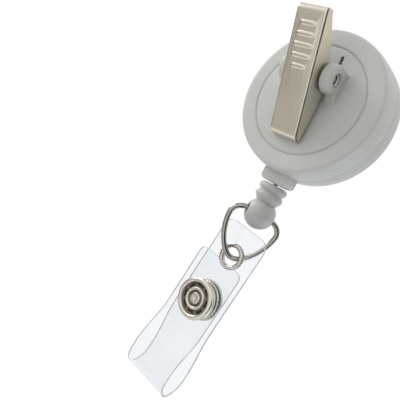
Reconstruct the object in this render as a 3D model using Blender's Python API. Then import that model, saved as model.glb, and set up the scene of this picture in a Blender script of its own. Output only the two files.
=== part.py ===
"""Retractable badge reel: a round sprung case with a lever clip, a cord that ends in a bead, a D-ring and a
clear strap with a press stud.

Every piece is placed in the reel's own frame: X across, Y from the front face to the clip, Z up, with the case's
centre at the frame's origin and the cord leaving straight down. The frame itself is an empty that stands so that
the world's origin is the point on the back where the clip grips.
"""

from math import cos, pi, radians, sin, sqrt

import bmesh
import bpy
from mathutils import Matrix, Vector

MM = 0.001

# ---- driving dimensions ----
CASE_R = 16.0 * MM  # outside radius at the parting line
BACK_R = 15.4 * MM  # the back half tapers to this radius
CASE_HALF = 5.0 * MM  # half the case's thickness
SEAM = 0.1 * MM  # gap left where two moulded pieces meet
RECESS_R = 9.7 * MM  # flat floor of the label recess
RECESS_DEPTH = 0.5 * MM
BASE_R = 11.85 * MM  # disc that carries the clip
CORD_R = 0.45 * MM
KNOT_Z, KNOT_R = -22.7 * MM, 1.05 * MM  # knot inside the bead
WINDING_R = 11.5 * MM  # mean radius of the cord on the drum

NOZZLE_END = -18.2 * MM  # lowest face of the cord outlet
OUTLET_HALF, OUTLET_DEPTH = 3.35 * MM, 2.05 * MM  # the outlet's half width and half depth
BALL_Z = -25.4 * MM  # centre of the bead's ball
BALL_R = 3.45 * MM
BEAD_HOLE_R = 1.25 * MM
WIRE_R = 0.6 * MM  # D-ring wire
RING_TURN = radians(43)  # angle between the D-ring's plane and the strap's plane
RING_HALF = 5.8 * MM  # half width of the D-ring's centre line
RING_BAR_Z = -25.6 * MM
RING_APEX_Z = -36.9 * MM
HANG = radians(5.5)  # the D-ring and strap hang this far to one side, about the ball's centre

STRAP_HALF = 6.25 * MM
STRAP_T = 0.4 * MM
STRAP_TOP = -29.6 * MM
EYELET_Z = -36.7 * MM
SNAP_Z = -48.3 * MM
LOOP_Y, LOOP_Z = 1.6 * MM, -70.6 * MM  # bottom of the strap's fold
FLAP_TOP = -38.0 * MM
BACK_CORNER, FLAP_CORNER = 2.4 * MM, 1.5 * MM  # the strap's rounded ends
FLAP_Y = 2.68 * MM  # middle of the flap's sheet where it is snapped

PIVOT_Y, PIVOT_Z = 8.6 * MM, 4.1 * MM  # clip pin
LEVER_HALF = 3.35 * MM
LEVER_T = 0.5 * MM
GRIP_Z = -9.0 * MM  # where the jaw meets the back
PIN_R = 0.8 * MM

ROUND = 48  # segments of the case's circles
SMALL_ROUND = 24

# ---- colours: (red, green, blue), roughness, metallic ----
FINISHES = {
    "white_plastic": ((0.78, 0.79, 0.76), 0.35, 0.0),
    "nickel": ((0.72, 0.68, 0.60), 0.25, 1.0),
    "clear_vinyl": ((0.90, 0.93, 0.97), 0.10, 0.0),
    "drum_plastic": ((0.15, 0.15, 0.16), 0.45, 0.0),
    "spring_steel": ((0.45, 0.46, 0.48), 0.30, 1.0),
    "cord": ((0.85, 0.85, 0.82), 0.80, 0.0),
}


def clear_scene():
    for obj in list(bpy.data.objects):
        bpy.data.objects.remove(obj)


def material(slot):
    found = bpy.data.materials.get(slot)
    if found:
        return found
    colour, roughness, metallic = FINISHES[slot]
    made = bpy.data.materials.new(slot)
    made.use_nodes = True
    shader = made.node_tree.nodes["Principled BSDF"]
    shader.inputs["Base Color"].default_value = (*colour, 1.0)
    shader.inputs["Roughness"].default_value = roughness
    shader.inputs["Metallic"].default_value = metallic
    return made


def add_piece(name, data, slot, at=(0, 0, 0)):
    """One named piece, at a place in the reel's frame."""
    obj = bpy.data.objects.new(name, data)
    bpy.context.scene.collection.objects.link(obj)
    obj.parent = bpy.data.objects["reel_frame"]
    obj.location = at
    data.materials.append(material(slot))
    return obj


def mesh_from(bm, name):
    bmesh.ops.remove_doubles(bm, verts=bm.verts, dist=1e-7)
    bmesh.ops.recalc_face_normals(bm, faces=bm.faces)
    mesh = bpy.data.meshes.new(name)
    bm.to_mesh(mesh)
    bm.free()
    mesh.shade_smooth()
    mesh.set_sharp_from_angle(angle=radians(35))
    return mesh


def hang(obj):
    """Moves a piece, placed as if it hung straight down, to where it hangs."""
    obj.parent = bpy.data.objects["hanging_frame"]
    obj.matrix_parent_inverse = Matrix.Translation((0, 0, -BALL_Z))
    return obj


def helper(name, mesh, at=(0, 0, 0)):
    """A cutter or a shape to join, which isn't a piece itself."""
    obj = bpy.data.objects.new(name, mesh)
    bpy.context.scene.collection.objects.link(obj)
    obj.parent = bpy.data.objects["reel_frame"]
    obj.location = at
    obj.hide_render = True
    obj.display_type = "WIRE"
    return obj


def boolean(obj, other, operation):
    modifier = obj.modifiers.new(other.name, "BOOLEAN")
    modifier.operation = operation
    modifier.object = other
    modifier.solver = "EXACT"


def arc(centre, radius, start, end, steps):
    """Points along an arc, with angles in degrees from the first axis towards the second."""
    turns = [radians(start + (end - start) * i / steps) for i in range(steps + 1)]
    return [(centre[0] + radius * cos(a), centre[1] + radius * sin(a)) for a in turns]


def lathe(name, profile, along, steps, closed=False):
    """Turns (radius, height) points about the Y or the Z axis. An open profile starts and ends on the axis."""
    bm = bmesh.new()
    place = {"Y": lambda r, h: (r, h, 0), "Z": lambda r, h: (r, 0, h)}[along]
    verts = [bm.verts.new(place(r, h)) for r, h in profile]
    pairs = list(zip(verts, verts[1:]))
    if closed:
        pairs.append((verts[-1], verts[0]))
    edges = [bm.edges.new(pair) for pair in pairs]
    axis = (0, 1, 0) if along == "Y" else (0, 0, 1)
    bmesh.ops.spin(
        bm, geom=verts + edges, cent=(0, 0, 0), axis=axis, angle=2 * pi, steps=steps
    )
    return mesh_from(bm, name)


def prism(name, outline, low, high, along):
    """Extrudes a 2-D outline: (x, y) along Z, (z, y) along X or (x, z) along Y."""
    place = {
        "Z": lambda p, h: (p[0], p[1], h),
        "X": lambda p, h: (h, p[1], p[0]),
        "Y": lambda p, h: (p[0], h, p[1]),
    }[along]
    bm = bmesh.new()
    ends = [[bm.verts.new(place(p, h)) for p in outline] for h in (low, high)]
    for end in ends:
        bm.faces.new(end)
    count = len(outline)
    for i in range(count):
        j = (i + 1) % count
        bm.faces.new((ends[0][i], ends[0][j], ends[1][j], ends[1][i]))
    return mesh_from(bm, name)


def rod_mesh(name, radius, low, high, along, steps=SMALL_ROUND):
    outline = [
        (radius * cos(2 * pi * i / steps), radius * sin(2 * pi * i / steps))
        for i in range(steps)
    ]
    return prism(name, outline, low, high, along)


def box_mesh(name, low, high):
    outline = [(low[0], low[1]), (high[0], low[1]), (high[0], high[1]), (low[0], high[1])]
    return prism(name, outline, low[2], high[2], "Z")


def wire(name, points, radius, slot, sides=2, cyclic=False):
    """A round wire along a list of points."""
    curve = bpy.data.curves.new(name, "CURVE")
    curve.dimensions = "3D"
    spline = curve.splines.new("POLY")
    spline.points.add(len(points) - 1)
    for point, place in zip(spline.points, points):
        point.co = (*place, 1)
    spline.use_cyclic_u = cyclic
    spline.use_smooth = True
    curve.bevel_depth = radius
    curve.bevel_resolution = sides
    curve.use_fill_caps = not cyclic
    return add_piece(name, curve, slot)


def smooth_line(points, steps):
    """A Catmull-Rom curve through the points, as a list of Vectors."""
    ends = [2 * points[0] - points[1], *points, 2 * points[-1] - points[-2]]
    line = []
    for a, b, c, d in zip(ends, ends[1:], ends[2:], ends[3:]):
        for i in range(steps):
            t = i / steps
            line.append(
                0.5
                * (
                    2 * b
                    + (c - a) * t
                    + (2 * a - 5 * b + 4 * c - d) * t**2
                    + (3 * b - a - 3 * c + d) * t**3
                )
            )
    return [*line, points[-1].copy()]


# ---- case ----


def make_cord_hole():
    """Cutter for the cord's way out, with a flared mouth inside the case."""
    narrow, wide = 0.75 * MM, 4.6 * MM
    profile = [(0, -20 * MM), (narrow, -20 * MM), (narrow, -16.4 * MM), (1.1 * MM, -15.6 * MM)]
    profile += [(2.2 * MM, -14.9 * MM), (wide, -13.5 * MM), (0, -13.5 * MM)]
    helper("cord_hole", lathe("cord_hole", profile, "Z", 20))


def join_nozzle(shell, side):
    """The outlet is a short round-ended bar on the rim, split between the front (side -1) and the back."""
    corner, top = 1.15 * MM, -15.0 * MM
    low, high = sorted((side * SEAM / 2, side * OUTLET_DEPTH))
    right = arc((OUTLET_HALF - corner, NOZZLE_END + corner), corner, -90, 0, 5)
    right += arc((OUTLET_HALF - corner, NOZZLE_END + 2 * corner), corner, 0, 90, 5)[1:]
    right.append((OUTLET_HALF - corner, top))
    left = [(-x, z) for x, z in reversed(right)]
    outline = [*right, *left]
    name = f"{shell.name}_outlet"
    boolean(shell, helper(name, prism(name, outline, low, high, "Y")), "UNION")
    boolean(shell, bpy.data.objects["cord_hole"], "DIFFERENCE")


def make_front_shell():
    """Cup with the label recess outside, and the drum's post and a locating lip inside."""
    edge = 1.05 * MM
    lip_out, lip_in, lip_top = 14.7 * MM, 14.2 * MM, 1.4 * MM
    floor, post_r, post_top = -3.6 * MM, 2.0 * MM, 3.9 * MM
    recess = -CASE_HALF + RECESS_DEPTH
    profile = [
        (0, recess),
        (RECESS_R, recess),
        (RECESS_R + 0.45 * MM, recess - 0.32 * MM),
        (RECESS_R + 0.8 * MM, -CASE_HALF),
        *arc((CASE_R - edge, -CASE_HALF + edge), edge, -90, 0, 4),
        (CASE_R, -SEAM / 2),
        (lip_out, -SEAM / 2),
        (lip_out, lip_top),
        (lip_in, lip_top),
        (lip_in, floor + 0.5 * MM),
        (lip_in - 0.5 * MM, floor),
        (post_r, floor),
        (post_r, post_top - 0.4 * MM),
        (post_r - 0.3 * MM, post_top),
        (0, post_top),
    ]
    shell = add_piece("front_shell", lathe("front_shell", profile, "Y", ROUND), "white_plastic")
    join_nozzle(shell, -1)
    slot = box_mesh("post_slot", (-0.25 * MM, 0.3 * MM, -2.6 * MM), (0.25 * MM, 4.5 * MM, 2.6 * MM))
    boolean(shell, helper("post_slot", slot), "DIFFERENCE")


def make_back_shell():
    """Ring that closes the case, with a stepped opening for the clip's disc."""
    edge = 0.9 * MM
    wall_in, ledge_in = 14.8 * MM, 10.9 * MM
    inside, ledge = 3.4 * MM, 4.0 * MM
    profile = [
        (CASE_R, SEAM / 2),
        *arc((BACK_R - edge, CASE_HALF - edge), edge, 0, 90, 4),
        (BASE_R + SEAM, CASE_HALF),
        (BASE_R + SEAM, ledge),
        (ledge_in, ledge),
        (ledge_in, inside),
        (wall_in - 0.6 * MM, inside),
        (wall_in, inside - 0.6 * MM),
        (wall_in, SEAM / 2),
    ]
    mesh = lathe("back_shell", profile, "Y", ROUND, closed=True)
    join_nozzle(add_piece("back_shell", mesh, "white_plastic"), 1)


def lug_outline():
    """A clip lug seen from the side: a round head on a foot that tapers out towards the jaw."""
    head, foot = 2.9 * MM, CASE_HALF - 0.4 * MM
    return [
        *arc((PIVOT_Z, PIVOT_Y), head, -18, 222, 12),
        (PIVOT_Z - 4.6 * MM, foot),
        (PIVOT_Z + 2.75 * MM, foot),
    ]


def make_clip_base():
    """Disc let into the back, with two lugs for the clip's pin and two slots for the spring's leg."""
    step_r, inside, socket_r = 10.75 * MM, 3.5 * MM, 2.2 * MM
    profile = [
        (0, CASE_HALF),
        (BASE_R - 0.15 * MM, CASE_HALF),
        (BASE_R, CASE_HALF - 0.15 * MM),
        (BASE_R, 4.1 * MM),
        (step_r, 4.1 * MM),
        (step_r, inside),
        (socket_r, inside),
        (socket_r, 4.1 * MM),
        (0, 4.1 * MM),
    ]
    base = add_piece("clip_base", lathe("clip_base", profile, "Y", ROUND), "white_plastic")
    lug_in, lug_out = LEVER_HALF + 0.3 * MM, 6.1 * MM
    for side in (-1, 1):
        low, high = sorted((side * lug_in, side * lug_out))
        lug = prism(f"lug_{high > 0}", lug_outline(), low, high, "X")
        boolean(base, helper(lug.name, lug), "UNION")
        seat = rod_mesh("pin_seat", 1.5 * MM, -0.5 * MM, 0.6 * MM, "X", 16)
        at = (side * lug_out, PIVOT_Y, PIVOT_Z)
        boolean(base, helper(f"pin_seat_{high > 0}", seat, at), "DIFFERENCE")
        slot_low = (side * 2.8 * MM - 0.4 * MM, 2 * MM, 8.6 * MM)
        slot_high = (side * 2.8 * MM + 0.4 * MM, 6 * MM, 10.2 * MM)
        slot = box_mesh(f"leg_slot_{high > 0}", slot_low, slot_high)
        boolean(base, helper(slot.name, slot), "DIFFERENCE")
    bore = rod_mesh("pin_bore", PIN_R + 0.05 * MM, -8 * MM, 8 * MM, "X", 16)
    boolean(base, helper("pin_bore", bore, (0, PIVOT_Y, PIVOT_Z)), "DIFFERENCE")


# ---- clip ----


def make_clip_lever():
    """Pressed steel channel: a sloping plate with ribs, a lip at each end and side walls that reach the pin."""
    jaw, thumb = Vector((GRIP_Z + 0.1 * MM, 7.4 * MM)), Vector((12.7 * MM, 18.5 * MM))
    along = (thumb - jaw).normalized()
    inward = Vector((along.y, -along.x))
    lip = 1.8 * MM
    thumb_lip = thumb + inward * lip
    outline = [
        (GRIP_Z - 0.25 * MM, CASE_HALF + 0.3 * MM),
        tuple(jaw),
        tuple(thumb),
        tuple(thumb_lip),
        tuple(thumb_lip - along * 1.2 * MM + inward * 0.1 * MM),
        (7.9 * MM, 10.7 * MM),
        *arc((PIVOT_Z, PIVOT_Y), 2.1 * MM, 0, -90, 4),
        (-6.0 * MM, CASE_HALF + 0.75 * MM),
        (GRIP_Z + 0.3 * MM, CASE_HALF + 0.75 * MM),
        (GRIP_Z + 0.25 * MM, CASE_HALF + 0.3 * MM),
    ]
    inner_jaw = jaw + inward * LEVER_T + along * LEVER_T
    inner_thumb = thumb + inward * LEVER_T - along * LEVER_T
    hollow = [
        (GRIP_Z + 0.25 * MM, 2 * MM),
        (GRIP_Z + 0.25 * MM, inner_jaw.y - 0.1 * MM),
        tuple(inner_thumb),
        tuple(inner_thumb + inward * 3 * MM),
        (inner_thumb.x + 1.4 * MM, 2 * MM),
    ]
    body = prism("clip_lever", outline, -LEVER_HALF, LEVER_HALF, "X")
    lever = add_piece("clip_lever", body, "nickel")
    inside = LEVER_HALF - LEVER_T
    boolean(lever, helper("lever_hollow", prism("lever_hollow", hollow, -inside, inside, "X")), "DIFFERENCE")
    bore = rod_mesh("lever_bore", PIN_R + 0.15 * MM, -5 * MM, 5 * MM, "X", 16)
    boolean(lever, helper("lever_bore", bore, (0, PIVOT_Y, PIVOT_Z)), "DIFFERENCE")
    first_rib, rib_pitch, rib_r = 3.1 * MM, 1.93 * MM, 0.45 * MM
    for number, half in enumerate((2.0 * MM, 2.3 * MM, 2.5 * MM, 2.4 * MM, 1.9 * MM)):
        rib = arc((0, 0), rib_r, 0, 360, 8)[:-1]
        rib_mesh = prism(f"rib_{number}", rib, -half, half, "X")
        middle = thumb - along * (first_rib + rib_pitch * number) + inward * 0.15 * MM
        boolean(lever, helper(rib_mesh.name, rib_mesh, (0, middle.y, middle.x)), "UNION")


def make_clip_pin():
    mesh = rod_mesh("clip_pin", PIN_R, -5.5 * MM, 5.5 * MM, "X", 16)
    add_piece("clip_pin", mesh, "spring_steel", (0, PIVOT_Y, PIVOT_Z))


def make_clip_spring():
    """Torsion spring round the pin: one leg in the base's slot, the other under the lever's thumb plate."""
    coil_r, wire_r, turns, steps = 1.35 * MM, 0.28 * MM, 4, 14
    half, base_angle, lever_angle = 1.5 * MM, -50, 20
    points = [Vector((2.75 * MM, 4.6 * MM, 9.6 * MM)), Vector((2.6 * MM, 5.6 * MM, 9.1 * MM))]
    points.append(Vector((2.0 * MM, 6.6 * MM, 6.9 * MM)))
    total = 360 * turns + (base_angle - lever_angle)
    count = turns * steps
    for i in range(count + 1):
        angle = radians(base_angle - total * i / count)
        x = half - 2 * half * i / count
        points.append(Vector((x, PIVOT_Y + coil_r * sin(angle), PIVOT_Z + coil_r * cos(angle))))
    points.append(Vector((-1.7 * MM, 11.6 * MM, 6.1 * MM)))
    points.append(Vector((-1.8 * MM, 15.0 * MM, 8.9 * MM)))
    wire("clip_spring", points, wire_r, "spring_steel", sides=1)


# ---- drum, spring and cord ----


def make_drum():
    """Spool with the cord's groove outside and the flat spring's chamber inside."""
    flange, groove, chamber, hub, bore = 13.4 * MM, 10.4 * MM, 9.6 * MM, 3.0 * MM, 2.1 * MM
    low, floor, top = -3.4 * MM, -2.6 * MM, 2.9 * MM
    profile = [
        (bore, low),
        (flange, low),
        (flange, floor),
        (groove, floor),
        (groove, top - 0.8 * MM),
        (flange, top - 0.8 * MM),
        (flange, top),
        (chamber, top),
        (chamber, floor),
        (hub, floor),
        (hub, floor + 0.8 * MM),
        (bore, floor + 0.8 * MM),
    ]
    drum = add_piece("drum", lathe("drum", profile, "Y", 36, closed=True), "drum_plastic")
    anchor = box_mesh("anchor_hole", (9 * MM, -1.2 * MM, -0.8 * MM), (11 * MM, 0.4 * MM, 0.8 * MM))
    boolean(drum, helper("anchor_hole", anchor), "DIFFERENCE")


def make_power_spring():
    """Flat spiral spring, from the post's slot out to the drum's wall."""
    thickness, width, turns, steps = 0.2 * MM, 4.2 * MM, 6, 26
    inner, outer, low = 2.5 * MM, 9.25 * MM, -1.6 * MM
    bm = bmesh.new()
    rows = []
    for i in range(turns * steps + 1):
        share = i / (turns * steps)
        angle, r = 2 * pi * turns * share, inner + (outer - inner) * share
        corners = [(r, low), (r + thickness, low), (r + thickness, low + width), (r, low + width)]
        rows.append([bm.verts.new((s * sin(angle), h, -s * cos(angle))) for s, h in corners])
    for a, b in zip(rows, rows[1:]):
        for i in range(4):
            bm.faces.new((a[i], a[(i + 1) % 4], b[(i + 1) % 4], b[i]))
    bm.faces.new(rows[0])
    bm.faces.new(rows[-1])
    add_piece("power_spring", mesh_from(bm, "power_spring"), "spring_steel")


def make_cord_winding():
    """The stored cord, four turns side by side in just over two layers, as one ring with each turn's bump."""
    inner, low, pitch, turns = 10.5 * MM, -2.45 * MM, 1.05 * MM, 4
    outer = inner + 1.7 * MM
    profile = [(inner, low)]
    for turn in range(turns):
        centre = (outer, low + pitch * (turn + 0.5))
        profile += [(r, h) for r, h in arc(centre, CORD_R, -80, 80, 3)]
    profile.append((inner, low + pitch * turns))
    add_piece("cord_winding", lathe("cord_winding", profile, "Y", 36, closed=True), "cord")


def make_cord_anchor():
    """Knot that holds the cord's inner end behind the drum's wall."""
    steps, knot = 6, 0.42 * MM
    profile = [(knot * sin(pi * i / steps), -knot * cos(pi * i / steps)) for i in range(steps + 1)]
    profile[0], profile[-1] = (0, -knot), (0, knot)
    add_piece("cord_anchor", lathe("cord_anchor", profile, "Z", 12), "cord", (10.0 * MM, -0.4 * MM, 0))


def make_cord_run():
    """The cord from the drum's edge, round the outlet's inner rim and down to the knot."""
    leave = radians(43)
    out = WINDING_R + 1.7 * MM
    route = [
        Vector((out * sin(leave), 0, -out * cos(leave))),
        Vector((4.3 * MM, 0, -12.9 * MM)),
        Vector((1.3 * MM, 0, -14.5 * MM)),
        Vector((0.15 * MM, 0, -15.9 * MM)),
        Vector((0, 0, -17.5 * MM)),
        Vector((0, 0, -19.5 * MM)),
        Vector((0, 0, KNOT_Z + KNOT_R + 0.1 * MM)),
    ]
    wire("cord_run", smooth_line(route, 3), CORD_R, "cord")


def make_cord_knot():
    steps = 8
    profile = [(KNOT_R * sin(pi * i / steps), -KNOT_R * cos(pi * i / steps)) for i in range(steps + 1)]
    profile[0], profile[-1] = (0, -KNOT_R), (0, KNOT_R)
    add_piece("cord_knot", lathe("cord_knot", profile, "Z", 14), "cord", (0, 0, KNOT_Z))


def make_cord_bead():
    """Turned end of the cord: two ribs, a neck and a ball with a cross hole for the D-ring."""
    top, rib_r, groove_r, neck_r = NOZZLE_END - 0.3 * MM, 3.15 * MM, 2.6 * MM, 2.5 * MM
    rib_half = 0.75 * MM
    profile = [(0, top), (2.4 * MM, top)]
    for rib_z in (-19.45 * MM, -21.3 * MM):
        centre = (rib_r - rib_half, rib_z)
        profile += arc(centre, rib_half, 80, -80, 5)
        profile.append((groove_r, rib_z - rib_half - 0.2 * MM))
    profile[-1] = (neck_r, -22.5 * MM)
    start = 50
    ball = arc((0, BALL_Z), BALL_R, start, -90, 11)
    profile += [*ball[:-1], (0, BALL_Z - BALL_R)]
    bead = add_piece("cord_bead", lathe("cord_bead", profile, "Z", 28), "white_plastic")
    chamber = rod_mesh("knot_chamber", KNOT_R + 0.25 * MM, BALL_Z, KNOT_Z + 1.3 * MM, "Z", 20)
    boolean(bead, helper("knot_chamber", chamber), "DIFFERENCE")
    bore = rod_mesh("cord_bore", CORD_R + 0.15 * MM, KNOT_Z, NOZZLE_END + MM, "Z", 16)
    boolean(bead, helper("cord_bore", bore), "DIFFERENCE")
    cross = helper("cross_hole", rod_mesh("cross_hole", BEAD_HOLE_R, -5 * MM, 5 * MM, "X", 20))
    cross.location = (0, 0, BALL_Z)
    cross.rotation_euler = (0, 0, RING_TURN)
    boolean(bead, cross, "DIFFERENCE")


# ---- D-ring and strap ----


def bezier(a, b, c, d, steps):
    """Points of one cubic, without its last point."""
    line = []
    for i in range(steps):
        t = i / steps
        s = 1 - t
        line.append(a * s**3 + 3 * b * s**2 * t + 3 * c * s * t**2 + d * t**3)
    return line


def ring_outline():
    """The D-ring's centre line in its own plane: a straight bar, round shoulders and a bow to the apex."""
    bar, half, shoulder = 3.1 * MM, RING_HALF, 2.5 * MM
    deep = RING_BAR_Z - RING_APEX_Z
    right = [
        Vector((bar, 0)),
        *bezier(
            Vector((bar, 0)),
            Vector((bar + 1.3 * MM, 0)),
            Vector((half, -shoulder + 1.4 * MM)),
            Vector((half, -shoulder)),
            5,
        )[1:],
        *bezier(
            Vector((half, -shoulder)),
            Vector((half, -shoulder - 3.3 * MM)),
            Vector((2.9 * MM, -deep)),
            Vector((0, -deep)),
            10,
        ),
    ]
    left = [Vector((-p.x, p.y)) for p in reversed(right)]
    return [*right, Vector((0, -deep)), *left]


def make_d_ring():
    turn = Matrix.Rotation(RING_TURN, 3, "Z")
    points = [turn @ Vector((p.x, 0, RING_BAR_Z + p.y)) for p in ring_outline()]
    hang(wire("d_ring", points, WIRE_R, "nickel", cyclic=True))


def ribbon(name, line, thickness, half_width):
    """A flat strip along points in the YZ plane. half_width gives its half width at a distance from its start."""
    bm = bmesh.new()
    rows, gone = [], 0.0
    for i, point in enumerate(line):
        ahead, behind = line[min(i + 1, len(line) - 1)], line[max(i - 1, 0)]
        along = (ahead - behind).normalized()
        normal = Vector((0, -along.z, along.y)) * (thickness / 2)
        gone += (point - line[i - 1]).length if i else 0.0
        half = half_width(gone)
        corners = [(-half, -1), (half, -1), (half, 1), (-half, 1)]
        rows.append([bm.verts.new(Vector((x, 0, 0)) + point + normal * s) for x, s in corners])
    for a, b in zip(rows, rows[1:]):
        for i in range(4):
            bm.faces.new((a[i], a[(i + 1) % 4], b[(i + 1) % 4], b[i]))
    bm.faces.new(rows[0])
    bm.faces.new(rows[-1])
    return mesh_from(bm, name)


def rounded_end(corner, half):
    """Half width of a strip whose end has round corners."""

    def at(gone):
        short = max(corner - gone, 0.0)
        return half - corner + sqrt(max(corner**2 - short**2, 0.0))

    return at


def end_steps(top, y, corner):
    """Closely spaced points down over a rounded end."""
    shares = (0, 0.03, 0.12, 0.3, 0.6, 1.0)
    return [Vector((0, y, top - corner * share)) for share in shares]


def fold_points(side):
    """The bend from the snapped part of the strap down to the bottom of its fold. side 0 is the eyelet's leg."""
    legs = (
        [(0, -53.3), (-0.25, -56.3), (-1.1, -61), (-1.5, -65), (-1.05, -68.6)],
        [(2.68, -53.3), (3.0, -56.3), (4.35, -61), (4.8, -65), (4.25, -68.6)],
    )
    places = [Vector((0, y * MM, z * MM)) for y, z in legs[side]]
    bottom = Vector((0, LOOP_Y, LOOP_Z))
    beyond = legs[1 - side][-1]
    ring = Vector((0, beyond[0] * MM, beyond[1] * MM))
    line = smooth_line([*places, bottom, ring], 4)
    cut = max(i for i, p in enumerate(line) if (p - bottom).length < 1e-9)
    return line[: cut + 1]


def make_strap():
    """One vinyl strip, folded. The fold's lowest line is where its two halves meet, so each half is a piece."""
    back = [*end_steps(STRAP_TOP, 0, BACK_CORNER), Vector((0, 0, -42 * MM)), *fold_points(0)]
    front = [*end_steps(FLAP_TOP, FLAP_Y, FLAP_CORNER), *fold_points(1)]
    split = 0.2 * MM
    back[-1] = back[-1] - (back[-1] - back[-2]).normalized() * split
    front[-1] = front[-1] - (front[-1] - front[-2]).normalized() * split
    legs = []
    for name, line, corner in (
        ("strap_back_leg", back, BACK_CORNER),
        ("strap_front_leg", front, FLAP_CORNER),
    ):
        width = rounded_end(corner, STRAP_HALF)
        legs.append(hang(add_piece(name, ribbon(name, line, STRAP_T, width), "clear_vinyl")))
    back_leg, front_leg = legs
    eyelet = rod_mesh("eyelet_hole", 2.35 * MM, -MM, MM, "Y")
    boolean(back_leg, hang(helper("eyelet_hole", eyelet, (0, 0, EYELET_Z))), "DIFFERENCE")
    stud = rod_mesh("snap_hole", 1.2 * MM, -2 * MM, 6 * MM, "Y", 16)
    snap = hang(helper("snap_hole", stud, (0, 0, SNAP_Z)))
    boolean(back_leg, snap, "DIFFERENCE")
    boolean(front_leg, snap, "DIFFERENCE")


def make_eyelet():
    """Rolled metal eyelet that grips the strap round its hole."""
    bore, barrel, rim, half = 2.0, 2.3, 3.0, STRAP_T / 2 / MM + 0.03
    side = [(rim, half), (rim, half + 0.2), (rim - 0.35, half + 0.48), (bore + 0.25, half + 0.48), (bore, half + 0.2)]
    profile = [(barrel, half), *side, *[(r, -h) for r, h in reversed(side)], (barrel, -half)]
    mesh = lathe("strap_eyelet", [(r * MM, h * MM) for r, h in profile], "Y", SMALL_ROUND, closed=True)
    hang(add_piece("strap_eyelet", mesh, "nickel", (0, 0, EYELET_Z)))


# The press stud's four turned pieces, as (radius, height) in millimetres from the eyelet leg's middle.
SNAP_PROFILES = {
    "snap_front_ring": [
        (0, 3.55), (1.15, 3.55), (1.3, 3.2), (1.65, 3.2), (1.85, 3.7), (2.4, 3.7), (2.65, 3.15), (3.35, 3.15),
        (3.65, 3.8), (4.15, 3.95), (4.6, 3.7), (4.75, 3.25), (4.6, 2.92), (1.0, 2.92), (1.0, 2.5), (0, 2.5),
    ],
    "snap_socket": [
        (0, 2.42), (4.0, 2.42), (4.35, 2.1), (4.35, 1.6), (3.9, 1.35), (3.0, 1.3), (2.6, 1.05), (1.8, 1.05),
        (1.8, 1.3), (2.25, 1.45), (2.25, 2.05), (0, 2.05),
    ],
    "snap_stud": [
        (0, 1.85), (1.1, 1.85), (1.45, 1.6), (1.3, 1.2), (1.35, 0.85), (3.9, 0.85), (4.35, 0.6), (4.35, 0.28),
        (1.0, 0.28), (1.0, -0.15), (0, -0.15),
    ],
    "snap_back_ring": [
        (0, -0.25), (4.55, -0.25), (4.75, -0.5), (4.6, -0.9), (4.1, -1.15), (3.5, -1.05), (3.2, -0.6), (2.3, -0.6),
        (2.1, -0.95), (0, -0.95),
    ],
}


def make_snap():
    for name, profile in SNAP_PROFILES.items():
        mesh = lathe(name, [(r * MM, h * MM) for r, h in profile], "Y", 28)
        hang(add_piece(name, mesh, "nickel", (0, 0, SNAP_Z)))
    ring_r, steps = 1.95 * MM, 20
    gap = radians(40)
    turns = [gap / 2 + (2 * pi - gap) * i / steps for i in range(steps + 1)]
    points = [Vector((ring_r * cos(a), 1.72 * MM, SNAP_Z + ring_r * sin(a))) for a in turns]
    hang(wire("snap_socket_spring", points, 0.2 * MM, "spring_steel", sides=1))


def main():
    clear_scene()
    frame = bpy.data.objects.new("reel_frame", None)
    bpy.context.scene.collection.objects.link(frame)
    frame.location = (0, -CASE_HALF, -GRIP_Z)
    hanging = bpy.data.objects.new("hanging_frame", None)
    bpy.context.scene.collection.objects.link(hanging)
    hanging.parent = frame
    hanging.location = (0, 0, BALL_Z)
    hanging.rotation_euler = (0, -HANG, 0)
    make_cord_hole()
    make_front_shell()
    make_back_shell()
    make_clip_base()
    make_clip_lever()
    make_clip_pin()
    make_clip_spring()
    make_drum()
    make_power_spring()
    make_cord_winding()
    make_cord_anchor()
    make_cord_run()
    make_cord_knot()
    make_cord_bead()
    make_d_ring()
    make_strap()
    make_eyelet()
    make_snap()


main()
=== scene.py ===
"""Looks of a retractable badge reel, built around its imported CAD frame."""

from math import atan2, cos, pi, radians, sin, sqrt

import bmesh
import bpy
from mathutils import Euler, Matrix, Vector


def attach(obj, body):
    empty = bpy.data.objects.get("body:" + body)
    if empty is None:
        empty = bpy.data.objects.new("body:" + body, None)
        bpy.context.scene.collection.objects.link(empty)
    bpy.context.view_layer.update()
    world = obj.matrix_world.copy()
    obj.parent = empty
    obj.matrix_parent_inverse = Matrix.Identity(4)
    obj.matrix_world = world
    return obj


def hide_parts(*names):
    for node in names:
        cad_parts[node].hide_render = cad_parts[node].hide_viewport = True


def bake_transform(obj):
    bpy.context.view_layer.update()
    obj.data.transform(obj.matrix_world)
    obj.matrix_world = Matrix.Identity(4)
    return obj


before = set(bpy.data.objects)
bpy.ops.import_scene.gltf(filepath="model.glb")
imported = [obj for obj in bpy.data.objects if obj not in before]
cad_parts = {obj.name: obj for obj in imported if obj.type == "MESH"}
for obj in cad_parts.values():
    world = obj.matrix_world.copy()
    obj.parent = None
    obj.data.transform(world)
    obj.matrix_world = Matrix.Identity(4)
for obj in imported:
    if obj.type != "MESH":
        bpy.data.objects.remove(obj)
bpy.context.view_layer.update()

MM = 0.001
# The case's centre, seen from the part's origin, which is on the case's back under the clip's jaw.
REEL = Vector((0, -5 * MM, 9 * MM))

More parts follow.
